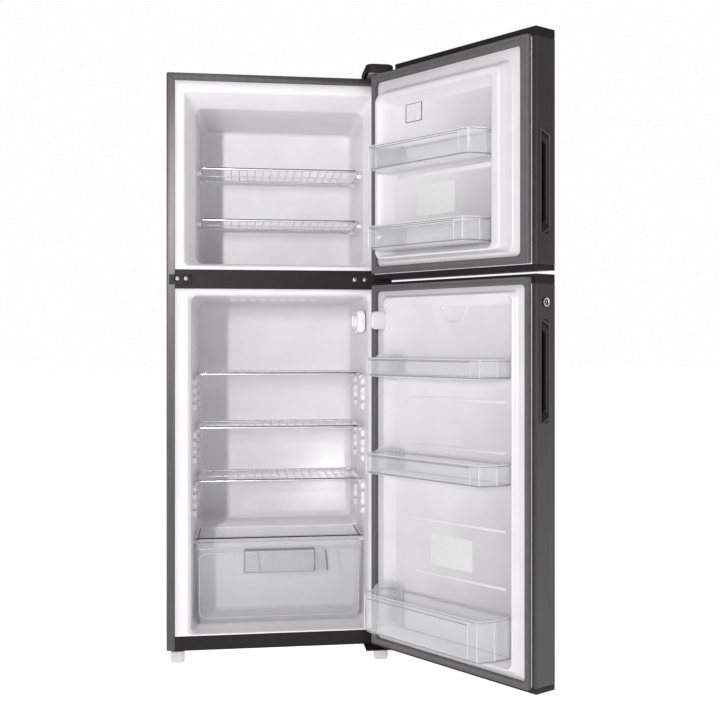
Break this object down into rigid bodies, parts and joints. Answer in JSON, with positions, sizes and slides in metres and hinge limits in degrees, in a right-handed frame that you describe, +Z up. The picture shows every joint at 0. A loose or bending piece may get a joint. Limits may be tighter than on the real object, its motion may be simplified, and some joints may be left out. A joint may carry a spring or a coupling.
{
  "type": "top freezer refrigerator",
  "caption": "Freestanding refrigerator with a freezer compartment over a fridge compartment, doors hinged on the right, wire shelves, clear door bins and a crisper drawer.",
  "frame": {"origin": "bottom centre of the whole refrigerator's box on the floor, with both doors open", "axes": "+Z up, +X to the right and +Y to the back, seen from the front of the cabinet"},
  "size_m": [0.8354, 1.0635, 1.45],
  "materials": {
    "dark_brushed_steel": "satin",
    "black_painted_steel": "satin",
    "galvanised_steel": "satin",
    "bright_wire": "polished",
    "white_liner_plastic": "satin",
    "black_plastic": "satin",
    "grey_gasket_rubber": "matte",
    "clear_plastic": "gloss",
    "clear_glass": "polished",
    "milky_plastic": "satin",
    "insulating_foam": "matte",
    "copper_tube": "satin",
    "bright_aluminium": "satin"
  },
  "bodies": {
    "cabinet": {"back_panel": "galvanised_steel", "base_sheet": "galvanised_steel", "bottom_hinge_bracket": "black_painted_steel", "bottom_rail": "black_painted_steel", "cabinet_foam": "insulating_foam", "cabinet_shell": "dark_brushed_steel", "compressor": "black_painted_steel", "compressor_plate": "black_painted_steel", "condenser_coil": "copper_tube", "drain_tray": "black_plastic", "evaporator": "bright_aluminium", "evaporator_cover": "white_liner_plastic", "freezer_liner": "white_liner_plastic", "fridge_liner": "white_liner_plastic", "front_foot_left": "milky_plastic", "front_foot_right": "milky_plastic", "lamp_housing": "white_liner_plastic", "lamp_lens": "milky_plastic", "middle_hinge_bracket": "black_painted_steel", "mullion": "black_painted_steel", "mullion_blank_plate": "black_painted_steel", "mullion_screw_inner_left": "galvanised_steel", "mullion_screw_inner_right": "galvanised_steel", "mullion_screw_outer_left": "galvanised_steel", "mullion_screw_outer_right": "galvanised_steel", "top_hinge_bracket": "galvanised_steel", "top_hinge_cover": "black_plastic"},
    "freezer_door": {"freezer_bin_lower": "clear_plastic", "freezer_bin_upper": "clear_plastic", "freezer_door_bottom_cap": "black_plastic", "freezer_door_foam": "insulating_foam", "freezer_door_gasket": "grey_gasket_rubber", "freezer_door_grip": "black_plastic", "freezer_door_liner": "white_liner_plastic", "freezer_door_skin": "dark_brushed_steel", "freezer_door_top_cap": "black_plastic"},
    "fridge_door": {"fridge_bin_lower": "clear_plastic", "fridge_bin_middle": "clear_plastic", "fridge_bin_upper": "clear_plastic", "fridge_door_bottom_cap": "black_plastic", "fridge_door_foam": "insulating_foam", "fridge_door_gasket": "grey_gasket_rubber", "fridge_door_grip": "black_plastic", "fridge_door_liner": "white_liner_plastic", "fridge_door_skin": "dark_brushed_steel", "fridge_door_top_cap": "black_plastic"},
    "crisper": {"crisper_drawer": "clear_plastic"},
    "crisper_shelf": {"crisper_shelf_glass": "clear_glass", "crisper_shelf_trim": "black_plastic"},
    "thermostat_knob": {"thermostat_knob": "milky_plastic"},
    "lamp_switch": {"lamp_switch": "white_liner_plastic"},
    "door_lock": {"door_lock": "bright_wire"},
    "evaporator_fan": {"evaporator_fan": "black_plastic"},
    "rear_roller_left": {"rear_roller_left": "black_plastic"},
    "rear_roller_right": {"rear_roller_right": "black_plastic"},
    "freezer_shelf_lower": {"freezer_shelf_lower": "bright_wire"},
    "freezer_shelf_upper": {"freezer_shelf_upper": "bright_wire"},
    "fridge_shelf_lower": {"fridge_shelf_lower": "bright_wire"},
    "fridge_shelf_middle": {"fridge_shelf_middle": "bright_wire"},
    "fridge_shelf_upper": {"fridge_shelf_upper": "bright_wire"}
  },
  "joints": [
    {"name": "freezer_door_hinge", "type": "hinge", "parent": "cabinet", "child": "freezer_door", "pos_m": [0.11035, -0.06083, 1.178], "axis": [0, 0, 1], "range_deg": [-122.5, 12]},
    {"name": "fridge_door_hinge", "type": "hinge", "parent": "cabinet", "child": "fridge_door", "pos_m": [0.11035, -0.06083, 0.478], "axis": [0, 0, 1], "range_deg": [-122.5, 12]},
    {"name": "crisper_slide", "type": "slide", "parent": "cabinet", "child": "crisper", "axis": [0, -1, 0], "range_m": [0, 0.12]},
    {"name": "crisper_shelf_slide", "type": "slide", "parent": "cabinet", "child": "crisper_shelf", "axis": [0, -1, 0], "range_m": [0, 0.06]},
    {"name": "freezer_shelf_lower_slide", "type": "slide", "parent": "cabinet", "child": "freezer_shelf_lower", "axis": [0, -1, 0], "range_m": [0, 0.06]},
    {"name": "freezer_shelf_upper_slide", "type": "slide", "parent": "cabinet", "child": "freezer_shelf_upper", "axis": [0, -1, 0], "range_m": [0, 0.06]},
    {"name": "fridge_shelf_lower_slide", "type": "slide", "parent": "cabinet", "child": "fridge_shelf_lower", "axis": [0, -1, 0], "range_m": [0, 0.06]},
    {"name": "fridge_shelf_middle_slide", "type": "slide", "parent": "cabinet", "child": "fridge_shelf_middle", "axis": [0, -1, 0], "range_m": [0, 0.06]},
    {"name": "fridge_shelf_upper_slide", "type": "slide", "parent": "cabinet", "child": "fridge_shelf_upper", "axis": [0, -1, 0], "range_m": [0, 0.06]},
    {"name": "thermostat_knob_turn", "type": "hinge", "parent": "cabinet", "child": "thermostat_knob", "pos_m": [0.04692, 0.06117, 0.826], "axis": [-1, 0, 0], "range_deg": [0, 300]},
    {"name": "lamp_switch_press", "type": "slide", "parent": "cabinet", "child": "lamp_switch", "axis": [0, 1, 0], "range_m": [0, 0.005], "stiffness_N_per_m": 250},
    {"name": "door_lock_turn", "type": "hinge", "parent": "fridge_door", "child": "door_lock", "pos_m": [0.38782, -0.49824, 0.859], "axis": [0.5373, -0.8434, 0], "range_deg": [0, 90]},
    {"name": "evaporator_fan_spin", "type": "hinge", "parent": "cabinet", "child": "evaporator_fan", "pos_m": [-0.14365, 0.39617, 1.24], "axis": [0, -1, 0], "continuous": true},
    {"name": "rear_roller_left_roll", "type": "hinge", "parent": "cabinet", "child": "rear_roller_left", "pos_m": [-0.35765, 0.50117, 0.0135], "axis": [1, 0, 0], "continuous": true},
    {"name": "rear_roller_right_roll", "type": "hinge", "parent": "cabinet", "child": "rear_roller_right", "pos_m": [0.07035, 0.50117, 0.0135], "axis": [1, 0, 0], "continuous": true}
  ]
}
